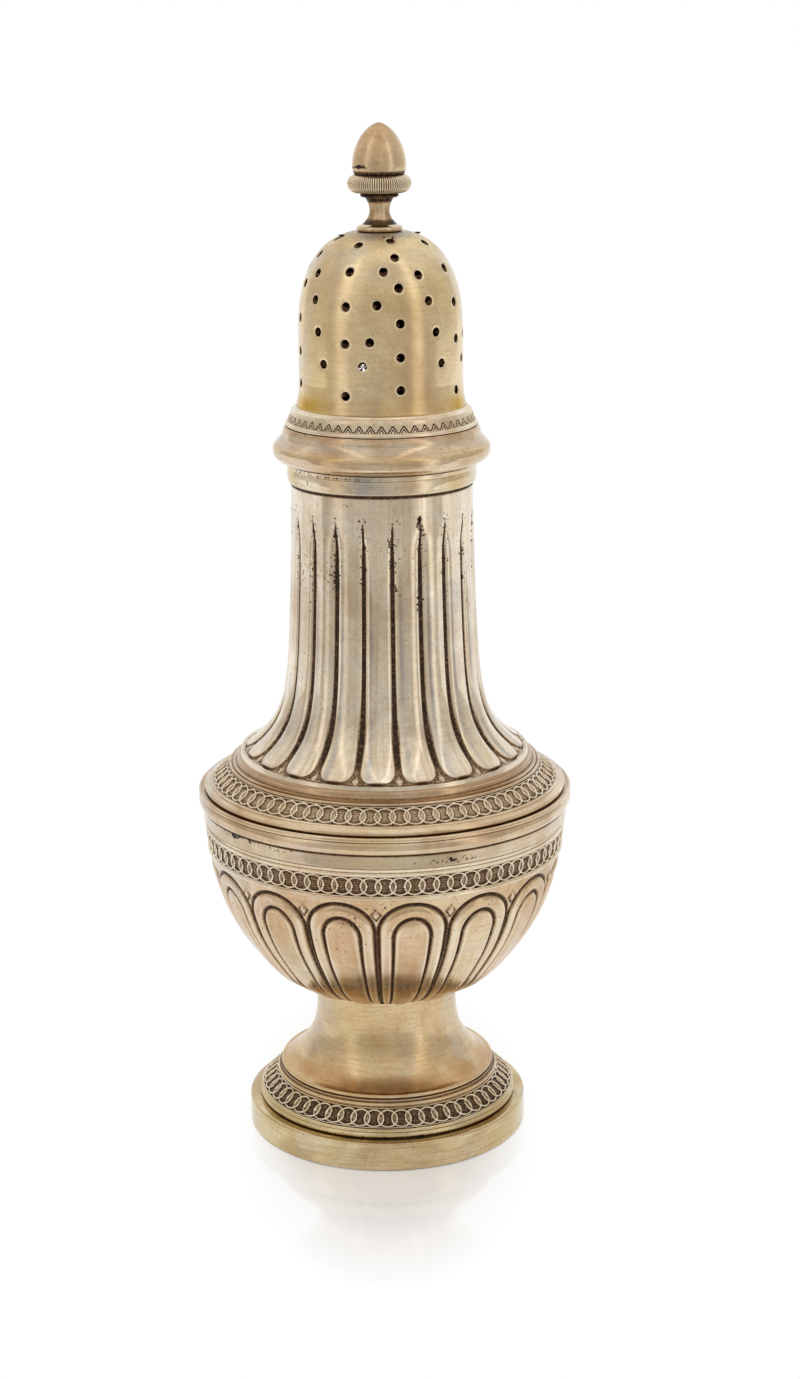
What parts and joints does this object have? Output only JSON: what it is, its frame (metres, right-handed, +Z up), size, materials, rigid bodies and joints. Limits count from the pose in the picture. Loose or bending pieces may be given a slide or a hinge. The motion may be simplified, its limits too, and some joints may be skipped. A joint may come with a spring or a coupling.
{
  "type": "sugar caster",
  "caption": "Footed silver sugar caster: bowl-shaped body with chased arches, fluted neck, guilloche friezes and a pierced domed cover with acorn finial that lifts off.",
  "frame": {"origin": "centre of the foot's lowest face", "axes": "+Z up along the caster's axis, front of the picture at -Y"},
  "size_m": [0.0776, 0.0776, 0.21],
  "materials": {
    "silver": "worn polish with a warm tarnish and dark patina in the recesses",
    "toned_silver": "soft sheen, toned yellow to brown",
    "patinated_silver": "raised parts worn bright, ground left dark"
  },
  "bodies": {
    "vessel": {"foot_plinth": "silver", "foot_beads": "silver", "foot_frieze": "patinated_silver", "foot_stem": "silver", "bowl": "silver", "bowl_frieze": "patinated_silver", "body_band": "toned_silver", "rim_moulding": "silver", "shoulder": "toned_silver", "shoulder_frieze": "patinated_silver", "neck": "silver"},
    "cover": {"cover_bezel": "silver", "cover_skirt": "silver", "cover_flange": "silver", "cover_frieze": "patinated_silver", "dome": "toned_silver", "finial_base": "silver", "finial_stem": "silver", "finial_cup": "patinated_silver", "finial_acorn": "silver", "finial_stud": "patinated_silver", "finial_nut": "patinated_silver"}
  },
  "joints": [
    {"name": "cover_lift", "type": "slide", "parent": "vessel", "child": "cover", "axis": [0, 0, 1], "range_m": [0, 0.05]}
  ]
}
